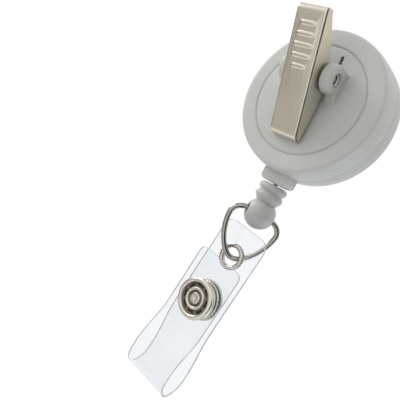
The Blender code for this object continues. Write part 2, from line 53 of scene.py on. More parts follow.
# ---- sizes shared with the CAD, in millimetres in the reel's frame ----
CASE_R, BACK_R, CASE_HALF = 16.0, 15.4, 5.0
CASE_SKIN = 0.02  # the visible rim lies this far inside the solid's
SEAM_HALF, OUTLET_SEAM_HALF = 0.03, 0.025  # half the gap between the case's halves
BASE_R = 11.85
NOZZLE_END, OUTLET_HALF, OUTLET_DEPTH = -18.2, 3.35, 2.05
BALL_Z, BALL_R, BEAD_HOLE_R = -25.4, 3.45, 1.25
KNOT_Z = -22.7
CORD_R = 0.45
WIRE_R = 0.6
RING_TURN = radians(43)
RING_HALF, RING_BAR_Z, RING_APEX_Z = 5.8, -25.6, -36.9
HANG = radians(5.5)  # how far the D-ring and strap hang to one side, about the ball
STRAP_HALF, STRAP_T, STRAP_TOP = 6.25, 0.4, -29.6
EYELET_Z, SNAP_Z = -36.7, -48.3
LOOP_Y, LOOP_Z = 1.6, -70.6
FLAP_TOP, FLAP_Y = -38.0, 2.68
BACK_CORNER, FLAP_CORNER = 2.4, 1.5  # radii of the strap's rounded ends
FOLD_START = -53.3  # the strap is straight above this height
STRIP_COLUMNS, RIM_WIDTH = 14, 0.16  # of the strap's mesh
PIVOT_Y, PIVOT_Z, PIN_R = 8.6, 4.1, 0.8
LEVER_HALF, LEVER_T, LEVER_BEND, GRIP_Z = 3.35, 0.5, 0.5, -9.0
JAW = Vector((GRIP_Z + 0.1, 7.4))  # plate ends, as (z, y)
THUMB = Vector((12.7, 18.5))

# ---- places in a piece's list of materials, after its main one at 0 ----
# DARK and DARKEST hold painted shade and painted dark reflections
DARK, DARKEST = 1, 2  # on metal
CUT_EDGE, RIM = 1, 2  # on the strap

# ---- camera ----
CAMERA_PLACE = Vector((-50.85, 85.8, -21.1))  # from the case's centre
CAMERA_TURN = (84.94, -27.82, -139.57)  # degrees
CAMERA_LENS = 41.08

# ---------------------------------------------------------------- materials


class Material:
    """A node material: a Principled shader with procedural colour, roughness and bump."""

    def __init__(self, name, roughness=0.5, metallic=0.0, **sockets):
        self.data = bpy.data.materials.new(name)
        self.data.use_nodes = True
        self.tree = self.data.node_tree
        self.shader = self.tree.nodes["Principled BSDF"]
        self.set("Roughness", roughness)
        self.set("Metallic", metallic)
        for key, value in sockets.items():
            self.set(key.replace("_", " "), value)
        self.place = self.tree.nodes.new("ShaderNodeTexCoord").outputs["Object"]

    def set(self, socket, value):
        self.shader.inputs[socket].default_value = value

    def link(self, output, socket):
        self.tree.links.new(output, socket)

    def mapped(self, scale, turn=(0, 0, 0)):
        mapping = self.tree.nodes.new("ShaderNodeMapping")
        mapping.inputs["Scale"].default_value = scale
        mapping.inputs["Rotation"].default_value = turn
        self.link(self.place, mapping.inputs["Vector"])
        return mapping.outputs["Vector"]

    def noise(self, scale, detail=3.0, stretch=(1, 1, 1), turn=(0, 0, 0)):
        node = self.tree.nodes.new("ShaderNodeTexNoise")
        node.inputs["Scale"].default_value = scale
        node.inputs["Detail"].default_value = detail
        self.link(self.mapped(stretch, turn), node.inputs["Vector"])
        return node.outputs["Fac"]

    def diagonal_wave(self, scale, turn=0.0):
        node = self.tree.nodes.new("ShaderNodeTexWave")
        node.bands_direction = "DIAGONAL"
        node.inputs["Scale"].default_value = scale
        self.link(self.mapped((1, 1, 1), (0, 0, turn)), node.inputs["Vector"])
        return node.outputs["Fac"]

    def math(self, operation, a, b):
        node = self.tree.nodes.new("ShaderNodeMath")
        node.operation = operation
        self.link(a, node.inputs[0])
        if isinstance(b, float):
            node.inputs[1].default_value = b
        else:
            self.link(b, node.inputs[1])
        return node.outputs[0]

    def colours(self, source, stops):
        ramp = self.tree.nodes.new("ShaderNodeValToRGB")
        elements = ramp.color_ramp.elements
        while len(elements) < len(stops):
            elements.new(0.5)
        for element, (position, colour) in zip(elements, stops):
            element.position = position
            element.color = (*colour, 1.0)
        self.link(source, ramp.inputs["Fac"])
        self.link(ramp.outputs["Color"], self.shader.inputs["Base Color"])

    def roughen(self, source, low, high):
        node = self.tree.nodes.new("ShaderNodeMapRange")
        node.inputs["From Min"].default_value = 0.3
        node.inputs["From Max"].default_value = 0.7
        node.inputs["To Min"].default_value = low
        node.inputs["To Max"].default_value = high
        self.link(source, node.inputs["Value"])
        self.link(node.outputs["Result"], self.shader.inputs["Roughness"])

    def bump(self, height, distance, strength=1.0):
        node = self.tree.nodes.new("ShaderNodeBump")
        node.inputs["Strength"].default_value = strength
        node.inputs["Distance"].default_value = distance
        self.link(height, node.inputs["Height"])
        self.link(node.outputs["Normal"], self.shader.inputs["Normal"])


def moulded(name, low, high, roughness):
    """Injection-moulded plastic: a fine spark-eroded grain with slow drifts of tone and gloss."""
    made = Material(name)
    drift = made.noise(90, 2.0)
    grain = made.noise(5200, 2.0)
    made.colours(drift, [(0.3, low), (0.7, high)])
    made.roughen(drift, roughness - 0.05, roughness + 0.06)
    made.bump(grain, 0.00002, 0.35)
    return made.data


def plated(name, low, high, roughness, stretch=(1, 1, 1), tilt=0.0):
    """Nickel plate over drawn or pressed steel: fine lines one way and a faint mottle."""
    made = Material(name, metallic=1.0)
    lines = made.noise(900, 3.0, stretch, (tilt, 0, 0))
    mottle = made.noise(120, 2.0)
    half_lines = made.math("MULTIPLY", lines, 0.5)
    made.colours(made.math("ADD", half_lines, 0.5), [(0.3, low), (0.75, high)])
    made.roughen(mottle, roughness - 0.06, roughness + 0.1)
    made.bump(lines, 0.000004, 0.25)
    return made.data


def clear_vinyl():
    """Soft clear sheet with a faint haze and long shallow waves."""
    vinyl = Material("clear_vinyl", 0.04, IOR=1.45, Transmission_Weight=1.0)
    haze = vinyl.noise(120, 3.0, (1, 1, 0.35))
    vinyl.colours(haze, [(0.3, (0.908, 0.929, 0.950)), (0.7, (0.930, 0.948, 0.964))])
    vinyl.roughen(haze, 0.02, 0.09)
    vinyl.bump(vinyl.noise(160, 2.0, (1, 1, 0.5)), 0.0001, 0.12)
    return vinyl.data


def mottled(name, roughness, scale, detail, low, high):
    """A plain surface whose tone drifts between two colours."""
    made = Material(name, roughness)
    made.colours(made.noise(scale, detail), [(0.3, low), (0.7, high)])
    return made.data


def painted_dark_nickel():
    """Nickel painted dark and dull: painted shade in the press stud's grooves and a painted dark reflection
    along the lever's bends.
    """
    dark_nickel_paint = Material("nickel_painted_shade_and_reflection", metallic=1.0)
    dark_nickel_paint.colours(dark_nickel_paint.noise(900), [(0.35, (0.13, 0.12, 0.10)), (0.75, (0.30, 0.275, 0.235))])
    dark_nickel_paint.roughen(dark_nickel_paint.noise(500), 0.35, 0.6)
    return dark_nickel_paint.data


def braided():
    """Two sets of strands crossing."""
    braid = Material("braided_cord", 0.7, Sheen_Weight=0.4)
    left = braid.diagonal_wave(700)
    right = braid.diagonal_wave(700, pi / 2)
    weave = braid.math("MAXIMUM", left, right)
    braid.colours(weave, [(0.2, (0.45, 0.45, 0.43)), (0.9, (0.80, 0.80, 0.77))])
    braid.bump(weave, 0.00008, 0.6)
    return braid.data


def make_materials():
    slope = atan2(THUMB.y - JAW.y, THUMB.x - JAW.x)  # the lever's drawing lines run up its plate
    return {
        "shell": moulded("shell_plastic", (0.47, 0.475, 0.455), (0.50, 0.505, 0.485), 0.38),
        "base": moulded("clip_base_plastic", (0.46, 0.465, 0.44), (0.49, 0.495, 0.47), 0.42),
        # the bead is the case's white plastic made darker: painted shade
        "bead": moulded("bead_plastic", (0.41, 0.412, 0.395), (0.44, 0.442, 0.425), 0.36),
        "drum": moulded("drum_plastic", (0.018, 0.018, 0.02), (0.03, 0.03, 0.033), 0.45),
        "lever": plated(
            "lever_nickel", (0.60, 0.555, 0.465), (0.73, 0.685, 0.585), 0.31, (1, 0.08, 1), slope
        ),
        # the D-ring's nickel is made darker than the other plated parts: painted dark reflection
        "wire": plated("wire_nickel_dark_reflection", (0.27, 0.26, 0.235), (0.38, 0.365, 0.33), 0.16, (1, 1, 0.1)),
        "eyelet": plated("eyelet_nickel", (0.42, 0.40, 0.36), (0.55, 0.53, 0.48), 0.16),
        "snap": plated("snap_nickel", (0.57, 0.54, 0.47), (0.70, 0.67, 0.59), 0.3),
        "steel": plated("bright_steel", (0.42, 0.42, 0.43), (0.55, 0.55, 0.56), 0.28, (1, 1, 0.2)),
        "dark_nickel_paint": painted_dark_nickel(),
        "vinyl": clear_vinyl(),
        # the cut edges and a narrow rim beside them are painted grey: painted dark reflection along the
        # clear sheet's edges
        "edge": mottled("vinyl_edge_painted_dark", 0.3, 300, 2.0, (0.36, 0.39, 0.42), (0.52, 0.56, 0.59)),
        "rim": mottled("vinyl_rim_painted_dark", 0.2, 300, 2.0, (0.62, 0.66, 0.70), (0.76, 0.79, 0.83)),
        # near black for hollows: painted shade in the pin's gutters and punch marks and in the press stud's
        # slots
        "slot": mottled("hollow_painted_shade", 0.7, 800, 3.0, (0.012, 0.011, 0.009), (0.035, 0.03, 0.025)),
        "cord": braided(),
    }


# ---------------------------------------------------------------- mesh helpers


def placed(name, data):
    """A new object in the scene."""
    obj = bpy.data.objects.new(name, data)
    bpy.context.scene.collection.objects.link(obj)
    return obj


def finish_mesh(bm, name, sharp=32):
    bmesh.ops.remove_doubles(bm, verts=bm.verts, dist=1e-4)
    bmesh.ops.recalc_face_normals(bm, faces=bm.faces)
    mesh = bpy.data.meshes.new(name)
    bm.to_mesh(mesh)
    bm.free()
    mesh.shade_smooth()
    mesh.set_sharp_from_angle(angle=radians(sharp))
    return mesh


def fillet(points, radius, steps=4, closed=False):
    """Rounds a 2-D line's corners by up to a radius."""
    count = len(points)
    line = []
    for i, point in enumerate(points):
        if not closed and i in (0, count - 1):
            line.append(Vector(point))
            continue
        here, back, ahead = Vector(point), Vector(points[i - 1]), Vector(points[(i + 1) % count])
        first, last = back - here, ahead - here
        if first.length < 1e-6 or last.length < 1e-6 or abs(first.angle(last) - pi) < 0.12:
            line.append(here)
            continue
        a = here + first.normalized() * min(radius, first.length * 0.48)
        b = here + last.normalized() * min(radius, last.length * 0.48)
        for step in range(steps + 1):
            t = step / steps
            line.append(a * (1 - t) ** 2 + here * 2 * t * (1 - t) + b * t**2)
    return [tuple(p) for p in line]


def arc(centre, radius, start, end, steps):
    turns = [radians(start + (end - start) * i / steps) for i in range(steps + 1)]
    return [(centre[0] + radius * cos(a), centre[1] + radius * sin(a)) for a in turns]


def lathe(name, profile, along, steps=128, closed=False, sharp=32):
    """Turns (radius, height) points about an axis."""
    bm = bmesh.new()
    place = {"Y": lambda r, h: (r, h, 0), "Z": lambda r, h: (r, 0, h), "X": lambda r, h: (h, r, 0)}[along]
    verts = [bm.verts.new(place(r, h)) for r, h in profile]
    pairs = list(zip(verts, verts[1:]))
    if closed:
        pairs.append((verts[-1], verts[0]))
    edges = [bm.edges.new(pair) for pair in pairs]
    axis = {"Y": (0, 1, 0), "Z": (0, 0, 1), "X": (1, 0, 0)}[along]
    bmesh.ops.spin(bm, geom=verts + edges, cent=(0, 0, 0), axis=axis, angle=2 * pi, steps=steps)
    return finish_mesh(bm, name, sharp)


def round_edges(bm, edges, radius, segments):
    bmesh.ops.bevel(
        bm, geom=edges, offset=radius, segments=segments, profile=0.5, affect="EDGES", clamp_overlap=True
    )


def prism(name, outline, low, high, along, bevel=0.0, only=()):
    """Extrudes an outline, (x, y) along Z, (z, y) along X or (x, z) along Y, and rounds some edges."""
    place = {
        "Z": lambda p, h: (p[0], p[1], h),
        "X": lambda p, h: (h, p[1], p[0]),
        "Y": lambda p, h: (p[0], h, p[1]),
    }[along]
    bm = bmesh.new()
    ends = [[bm.verts.new(place(p, h)) for p in outline] for h in (low, high)]
    for end in ends:
        bm.faces.new(end)
    count = len(outline)
    for i in range(count):
        j = (i + 1) % count
        bm.faces.new((ends[0][i], ends[0][j], ends[1][j], ends[1][i]))
    if bevel:
        bmesh.ops.recalc_face_normals(bm, faces=bm.faces)
        rims = set()
        for end in ends:
            for i in range(count):
                if i in only and (i + 1) % count in only:
                    rims.add(bm.edges.get((end[i], end[(i + 1) % count])))
        round_edges(bm, list(rims), bevel, 4)
    return finish_mesh(bm, name)


def block(low, high):
    outline = [(low[0], low[1]), (high[0], low[1]), (high[0], high[1]), (low[0], high[1])]
    return prism("block", outline, low[2], high[2], "Z")


def rod(radius, low, high, along, steps=48):
    return prism("rod", arc((0, 0), radius, 0, 360, steps)[:-1], low, high, along)


def moved(mesh, at, turn=0.0, axis="Z"):
    """Turns a mesh about its origin, then moves it."""
    mesh.transform(Matrix.Translation(at) @ Matrix.Rotation(turn, 4, axis))
    return mesh


def evaluated(obj):
    """The mesh of an object with its modifiers applied."""
    bpy.context.view_layer.update()
    return bpy.data.meshes.new_from_object(obj.evaluated_get(bpy.context.evaluated_depsgraph_get()))


def combine(mesh, changes, sharp=32):
    """Applies (operation, mesh) booleans in turn."""
    base = placed("combine", mesh)
    tools = []
    for operation, other in changes:
        tool = placed("tool", other)
        modifier = base.modifiers.new("cut", "BOOLEAN")
        modifier.operation = operation
        modifier.object = tool
        modifier.solver = "EXACT"
        tools.append(tool)
    result = evaluated(base)
    for obj in [base, *tools]:
        bpy.data.objects.remove(obj)
    result.shade_smooth()
    result.set_sharp_from_angle(angle=radians(sharp))
    return result


def soften(mesh, voxel, rounds):
    """Melts a moulding's joins together, as its fillets do."""
    obj = placed("soften", mesh)
    remesh = obj.modifiers.new("remesh", "REMESH")
    remesh.mode = "VOXEL"
    remesh.voxel_size = voxel
    smooth = obj.modifiers.new("smooth", "SMOOTH")
    smooth.factor = 0.5
    smooth.iterations = rounds
    result = evaluated(obj)
    bpy.data.objects.remove(obj)
    result.shade_smooth()
    return result


def tube(name, points, radius, sides=16, closed=False):
    """A round wire along points, with flat ends or none."""
    bm = bmesh.new()
    rings, normal = [], None
    count = len(points)
    turns = [2 * pi * k / sides for k in range(sides)]
    for i, point in enumerate(points):
        place = Vector(point)
        ahead = Vector(points[(i + 1) % count]) if closed or i < count - 1 else place
        behind = Vector(points[i - 1]) if closed or i else place
        along = (ahead - behind).normalized()
        if normal is None:
            normal = along.orthogonal().normalized()
        normal = (normal - along * normal.dot(along)).normalized()
        across = along.cross(normal)
        rings.append([bm.verts.new(place + (normal * cos(a) + across * sin(a)) * radius) for a in turns])
    for a, b in zip(rings, rings[1:]):
        for k in range(sides):
            bm.faces.new((a[k], a[(k + 1) % sides], b[(k + 1) % sides], b[k]))
    if closed:
        a, b = rings[-1], rings[0]
        first = min(range(sides), key=lambda k: (b[k].co - a[0].co).length)
        for k in range(sides):
            bm.faces.new((a[k], a[(k + 1) % sides], b[(first + k + 1) % sides], b[(first + k) % sides]))
    else:
        bm.faces.new(rings[0])
        bm.faces.new(rings[-1])
    return finish_mesh(bm, name, 50)


def smooth_line(points, steps):
    """A Catmull-Rom curve through the points."""
    points = [Vector(p) for p in points]
    ends = [2 * points[0] - points[1], *points, 2 * points[-1] - points[-2]]
    line = []
    for a, b, c, d in zip(ends, ends[1:], ends[2:], ends[3:]):
        for i in range(steps):
            t = i / steps
            bend = 2 * a - 5 * b + 4 * c - d
            line.append(0.5 * (2 * b + (c - a) * t + bend * t**2 + (3 * b - a - 3 * c + d) * t**3))
    return [*line, points[-1].copy()]


def show(name, mesh, materials, replaced, body=None, hanging=False):
    """Puts a mesh, in millimetres in the reel's frame, in the scene on its body, in place of CAD nodes."""
    if hanging:
        ball = Matrix.Translation((0, 0, BALL_Z))
        mesh.transform(ball @ Matrix.Rotation(-HANG, 4, "Y") @ ball.inverted())
    mesh.transform(Matrix.Translation(REEL) @ Matrix.Scale(MM, 4))
    chosen = [face.material_index for face in mesh.polygons]
    mesh.materials.clear()  # this also forgets which face had which material
    for material in materials:
        mesh.materials.append(material)
    mesh.polygons.foreach_set("material_index", chosen)
    obj = placed(name, mesh)
    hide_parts(*replaced)
    if body:
        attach(obj, body)
    return obj


# ---------------------------------------------------------------- case


def cord_hole():
    profile = [(0, -20), (0.75, -20), (0.75, -16.4), (1.1, -15.6), (2.2, -14.9), (4.6, -13.5), (0, -13.5)]
    return lathe("cord_hole", profile, "Z", 48)


def outlet(side):
    """The cord's outlet: a round-ended bar on the rim, split along the case's seam."""
    corner, top = 1.15, -15.0
    low, high = sorted((side * OUTLET_SEAM_HALF, side * OUTLET_DEPTH))
    right = arc((OUTLET_HALF - corner, NOZZLE_END + corner), corner, -90, 0, 8)
    right += arc((OUTLET_HALF - corner, NOZZLE_END + 2 * corner), corner, 0, 90, 8)[1:]
    right.append((OUTLET_HALF - corner, top))
    outline = [*right, *[(-x, z) for x, z in reversed(right)]]
    bm = bmesh.new()
    bm.from_mesh(prism("outlet", outline, low, high, "Y"))
    outer = [e for e in bm.edges if all(abs(abs(v.co.y) - OUTLET_DEPTH) < 1e-4 for v in e.verts)]
    round_edges(bm, outer, 0.95, 8)
    return finish_mesh(bm, "outlet")


def shell(name, profile, side, plastic):
    mesh = lathe(name, profile, "Y", 144, closed=side > 0)
    mesh = combine(mesh, [("UNION", outlet(side)), ("DIFFERENCE", cord_hole())])
    show(f"{name}_moulding", mesh, [plastic], [name], "case")


def make_case(kinds):
    """The front half carries the label's recess and the drum's post; the back half is a ring."""
    front, skin_r, meet_r = -CASE_HALF, CASE_R - CASE_SKIN, CASE_R - 0.07
    recess, lip_in, lip_out, floor = front + 0.5, 14.2, 14.7, -3.6
    post_r, post_end = 2, 3.9
    rim = fillet([(10.1, front), (skin_r, front), (skin_r, front + 2.4)], 1.2, 8)[1:-1]
    step = fillet([(9.0, recess), (9.85, recess), (10.15, front), (11.0, front)], 0.3, 4)[1:-1]
    front_profile = [
        (0, recess), (6, recess), *step, *rim, (skin_r, -0.12), (meet_r, -SEAM_HALF), (lip_out, -SEAM_HALF),
        (lip_out, 1.4), (lip_in, 1.4), (lip_in, floor + 0.5), (lip_in - 0.5, floor), (post_r, floor),
        (post_r, post_end - 0.4), (post_r - 0.3, post_end), (0, post_end),
    ]  # fmt: skip
    shell("front_shell", front_profile, -1, kinds["shell"])
    shares = [i / 6 for i in range(7)]
    taper = [(skin_r - (CASE_R - BACK_R) * t**2, 0.12 + (CASE_HALF - 0.12) * t) for t in shares]
    rim = [*taper[:-2], *fillet([taper[-2], taper[-1], (12.2, CASE_HALF)], 0.8, 8)[:-1]]
    seat_r, seat_edge = BASE_R + 0.02, CASE_HALF - 0.24
    groove = fillet([(12.6, CASE_HALF), (BASE_R + 0.28, CASE_HALF), (seat_r, seat_edge)], 0.2, 4)[1:-1]
    back_profile = [
        (meet_r, SEAM_HALF), *rim, *groove, (seat_r, seat_edge), (seat_r, 4.0),
        (10.9, 4.0), (10.9, 3.4), (14.2, 3.4), (14.8, 2.8), (14.8, SEAM_HALF),
    ]  # fmt: skip
    shell("back_shell", back_profile, 1, kinds["shell"])


def lug_outline():
    """A round head on a straight foot, and how many of its points are the head's."""
    foot = CASE_HALF - 0.7
    head = arc((PIVOT_Z, PIVOT_Y), 2.9, -18, 222, 24)
    return [*head, (PIVOT_Z - 4.7, foot), (PIVOT_Z + 2.75, foot)], len(head)


def make_lug(low, high):
    """One lug, melted into a thin pad that the disc takes in."""
    outline, head_points = lug_outline()
    lug = prism("lug", outline, low, high, "X", 0.55, range(head_points))
    pad = block((low - 1.2, 4.3, -2.0), (high + 1.2, 4.96, 9.4))
    return soften(combine(lug, [("UNION", pad)]), 0.13, 24)


def make_clip_base(kinds):
    """The disc and its two lugs, with a seat for the pin's end and a slot for the spring beside each."""
    face, edge, under = CASE_HALF, CASE_HALF - 0.24, 3.5
    groove = fillet([(11.0, face), (BASE_R - 0.26, face), (BASE_R, edge)], 0.2, 4)[1:-1]
    profile = [
        (0, face), *groove, (BASE_R, edge), (BASE_R, 4.1), (10.75, 4.1),
        (10.75, under), (2.2, under), (2.2, 4.1), (0, 4.1),
    ]  # fmt: skip
    disc = lathe("clip_base", profile, "Y", 144)
    changes = []
    inner, outer = LEVER_HALF + 0.3, 6.1
    for side in (-1, 1):
        lug = make_lug(*sorted((side * inner, side * outer)))
        seat = fillet([(0, -0.75), (1.35, -0.75), (1.5, 0.6), (0, 0.6)], 0.2, 3)
        seat = lathe("seat", [(r, h * side) for r, h in seat], "X", 48)
        seat = moved(seat, (side * outer, PIVOT_Y, PIVOT_Z))
        slot = [(3.1, 8.4), (2.9, 10.2), (2.2, 10.2), (2.4, 8.4)]
        slot = prism("slot", [(side * x, z) for x, z in slot], 3.0, 6.0, "Y")
        changes += [("UNION", lug), ("DIFFERENCE", seat), ("DIFFERENCE", slot)]
    changes.append(("DIFFERENCE", moved(rod(PIN_R + 0.05, -8, 8, "X"), (0, PIVOT_Y, PIVOT_Z))))
    mesh = combine(disc, changes)
    show("clip_base_moulding", mesh, [kinds["base"]], ["clip_base"], "case")


# ---------------------------------------------------------------- clip


def lever_directions():
    """Up the lever's plate, and from its outer face inwards, as (z, y)."""
    along = (THUMB - JAW).normalized()
    return along, Vector((along.y, -along.x))


def lever_body(outline, plate_count):
    """Spreads the side outline across the lever. Two long bends draw the plate in near its sides."""
    bend, steps = LEVER_BEND, 9
    run_out = 0.9  # each bend fades away over this length at both ends
    points = [Vector(p) for p in outline]
    plate = points[:plate_count]
    inwards, reach = [], [0.0]
    for i, point in enumerate(plate):
        way = points[i + 1] - points[i - 1]
        inwards.append(Vector((way.y, -way.x)).normalized())
        if i:
            reach.append(reach[-1] + (point - plate[i - 1]).length)
    shares = [min(1.0, r / run_out, (reach[-1] - r) / run_out) for r in reach]
    half_turn = [pi / 2 * k / steps for k in range(steps + 1)]
    levels = [(LEVER_HALF - bend + bend * cos(a), bend * (1 - sin(a))) for a in half_turn]
    levels = [(-x, inset) for x, inset in levels] + levels[::-1]
    bm = bmesh.new()
    rows = []
    for x, inset in levels:
        drawn = [p + n * (inset * share) for p, n, share in zip(plate, inwards, shares)]
        rows.append([bm.verts.new((x, p.y, p.x)) for p in [*drawn, *points[plate_count:]]])
    count = len(points)
    for a, b in zip(rows, rows[1:]):
        for i in range(count):
            j = (i + 1) % count
            bm.faces.new((a[i], a[j], b[j], b[i]))
    bm.faces.new(rows[0])
    bm.faces.new(rows[-1])
    return finish_mesh(bm, "lever")


def paint_bend_reflections(mesh):
    """The plate's two long bends get a painted dark reflection line, on faces half way from plate to side
    wall.
    """
    inward = lever_directions()[1]
    for face in mesh.polygons:
        turned = abs(face.normal.x)
        outward = -(face.normal.z * inward.x + face.normal.y * inward.y)
        if 0.5 < turned < 0.95 and outward > 0.2 and abs(face.center.x) > LEVER_HALF - LEVER_BEND:
            face.material_index = DARK


def make_rib(half):
    """A grip rib: a turned bar that tapers into the plate at both ends."""
    full, shoulder = 0.75, 0.5
    ends = [(0, half + 0.8), (shoulder, half + 0.4), (full, half - 0.5)]
    profile = [*[(r, -x) for r, x in ends], *reversed(ends)]
    return lathe("rib", fillet(profile, 0.6, 5), "X", 32)


def lever_outline():
    """The lever seen from its side, as (z, y), and how many of its points are the plate's."""
    along, inward = lever_directions()
    lip = THUMB + inward * 1.8
    jaw_y, wall_y = CASE_HALF + 0.3, CASE_HALF + 0.75
    back = [(GRIP_Z - 0.25, jaw_y), tuple(JAW), tuple(THUMB), tuple(lip)]
    plate = fillet([(GRIP_Z + 0.3, jaw_y), *back, tuple(lip - along)], 0.95, 6)[1:-1]
    wall = [
        tuple(lip - along * 1.2 + inward * 0.1), (7.9, 10.7), *arc((PIVOT_Z, PIVOT_Y), 2.1, 0, -90, 10),
        (-6.0, wall_y), (GRIP_Z + 0.3, wall_y), (GRIP_Z + 0.25, jaw_y),
    ]  # fmt: skip
    return [*plate, *wall], len(plate)


def lever_hollow():
    """What the press leaves open between the lever's walls."""
    along, inward = lever_directions()
    jaw_in = JAW + inward * LEVER_T + along * LEVER_T
    thumb_in = THUMB + inward * LEVER_T - along * LEVER_T
    below = 2.0
    outline = [
        (GRIP_Z + 0.25, below), (GRIP_Z + 0.25, jaw_in.y - 0.1), tuple(thumb_in),
        tuple(thumb_in + inward * 3), (thumb_in.x + 1.4, below),
    ]  # fmt: skip
    inside = LEVER_HALF - LEVER_T
    return prism("hollow", fillet(outline, 0.4, 3, True), -inside, inside, "X")


def make_lever(kinds):
    """A pressed channel with a rolled lip at each end, soft bends along its sides and embossed grip ribs."""
    along, inward = lever_directions()
    bore = moved(rod(PIN_R + 0.15, -5, 5, "X"), (0, PIVOT_Y, PIVOT_Z))
    changes = [("DIFFERENCE", lever_hollow()), ("DIFFERENCE", bore)]
    first_rib, rib_pitch, rib_depth = 3.1, 1.93, 0.57
    for number, half in enumerate((1.75, 2.05, 2.25, 2.15, 1.65)):
        middle = THUMB - along * (first_rib + rib_pitch * number) + inward * rib_depth
        changes.append(("UNION", moved(make_rib(half), (0, middle.y, middle.x))))
    mesh = combine(lever_body(*lever_outline()), changes, 28)
    paint_bend_reflections(mesh)
    # the second finish is the painted dark reflection along the bends
    finishes = [kinds["lever"], kinds["dark_nickel_paint"]]
    show("clip_lever_pressing", mesh, finishes, ["clip_lever"], "clip_lever")


def make_pin(kinds):
    """Tubular rivet: each end has a rolled bright rim, a gutter and a core with two punch marks; the gutter
    and the marks are painted near black as shade.
    """
    core_face, mark_r, mark_depth = 5.5, 0.15, 5.25
    head = [
        (0.78, 5.2), (1.18, 5.4), (1.2, 5.62), (1.02, 5.74), (0.88, 5.6), (0.82, 5.38), (0.6, 5.38),
        (0.5, core_face), (0, core_face),
    ]  # fmt: skip
    profile = [(r, -x) for r, x in reversed(head)] + head
    mesh = lathe("pin", fillet(profile, 0.09, 4), "X", 64)
    marks = []
    for side in (-1, 1):
        for offset in (-0.23, 0.23):
            mark = rod(mark_r, *sorted((side * mark_depth, side * 5.8)), "X", 20)
            marks.append(("DIFFERENCE", moved(mark, (0, offset * 0.3, offset))))
    mesh = combine(mesh, marks)
    # the gutter and the punch marks take the near-black finish: painted shade in these hollows
    for face in mesh.polygons:
        x, r = abs(face.center.x), sqrt(face.center.y**2 + face.center.z**2)
        gutter = x > 5.2 and 0.56 < r < 0.86
        in_mark = 5.2 < x < core_face - 0.04 and r < 0.5
        if gutter or in_mark:
            face.material_index = DARK
    mesh = moved(mesh, (0, PIVOT_Y, PIVOT_Z))
    show("clip_pin_staked", mesh, [kinds["snap"], kinds["slot"]], ["clip_pin"], "case")


def make_clip_spring(kinds):
    """Torsion spring: one leg in a slot of the base, four turns round the pin, one leg under the plate."""
    coil_r, turns, steps, half = 1.35, 4, 28, 1.5
    first, total = -50, 360 * turns - 70
    base_leg = [(2.75, 4.6, 9.6), (2.6, 5.6, 9.1), (2.0, 6.6, 6.9)]
    lever_leg = [(-1.7, 11.6, 6.1), (-1.75, 13.3, 7.5), (-1.8, 15.0, 8.9)]
    points = smooth_line(base_leg, 5)
    for i in range(turns * steps + 1):
        share = i / (turns * steps)
        angle = radians(first - total * share)
        y, z = PIVOT_Y + coil_r * sin(angle), PIVOT_Z + coil_r * cos(angle)
        points.append(Vector((half - 2 * half * share, y, z)))
    points += [Vector(p) for p in lever_leg]
    mesh = tube("clip_spring", points, 0.28, 12)
    spring = show("clip_spring_wire", mesh, [kinds["steel"]], ["clip_spring"])
    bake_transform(spring)


# ---------------------------------------------------------------- cord and bead


def make_cord(kinds):
    """The cord from the drum's rim, through the outlet, to its knot in the bead."""
    leave, out = radians(43), 13.2
    route = [
        (out * sin(leave), 0, -out * cos(leave)), (4.3, 0, -12.9), (1.3, 0, -14.5), (0.15, 0, -15.9),
        (0, 0, -17.5), (0, 0, -19.5), (0, 0, KNOT_Z + 1.15),
    ]  # fmt: skip
    mesh = tube("cord", smooth_line(route, 10), CORD_R, 14)
    cord = show("cord_run_braid", mesh, [kinds["cord"]], ["cord_run"])
    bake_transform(cord)


def make_bead(kinds):
    """Ribbed neck and ball, with a soft-edged cross hole."""
    top = NOZZLE_END - 0.3
    outline = [
        (0, top), (2.5, top), (3.15, top - 0.35), (3.2, top - 1.2), (2.62, top - 1.75), (2.62, top - 1.95),
        (3.12, top - 2.4), (3.15, top - 3.1), (2.65, top - 3.65), (2.5, top - 4.0),
    ]  # fmt: skip
    neck = fillet(outline, 0.4, 5)
    ball = arc((0, BALL_Z), BALL_R, 50, -90, 34)
    mesh = lathe("bead", [*neck, *ball[:-1], (0, BALL_Z - BALL_R)], "Z", 96)
    chamber = rod(1.3, BALL_Z, KNOT_Z + 1.3, "Z")
    bore = rod(CORD_R + 0.15, KNOT_Z, NOZZLE_END + 1, "Z")
    flare = sqrt(BALL_R**2 - BEAD_HOLE_R**2)
    hole = [
        (0, -5), (2.3, -5), (1.5, -flare), (1.3, -flare + 0.3), (BEAD_HOLE_R, -flare + 0.8),
        (BEAD_HOLE_R, flare - 0.8), (1.3, flare - 0.3), (1.5, flare), (2.3, 5), (0, 5),
    ]  # fmt: skip
    cross = moved(lathe("cross", hole, "X", 48), (0, 0, BALL_Z), RING_TURN)
    mesh = combine(mesh, [("DIFFERENCE", chamber), ("DIFFERENCE", bore), ("DIFFERENCE", cross)], 40)
    show("cord_bead_moulding", mesh, [kinds["bead"]], ["cord_bead"], "bead")


# ---------------------------------------------------------------- D-ring and strap


def bezier(a, b, c, d, steps):
    """A cubic curve from a, drawn towards b and c, up to but not including d."""
    a, b, c, d = Vector(a), Vector(b), Vector(c), Vector(d)
    line = []
    for i in range(steps):
        t = i / steps
        s = 1 - t
        line.append(a * s**3 + 3 * b * s**2 * t + 3 * c * s * t**2 + d * t**3)
    return line


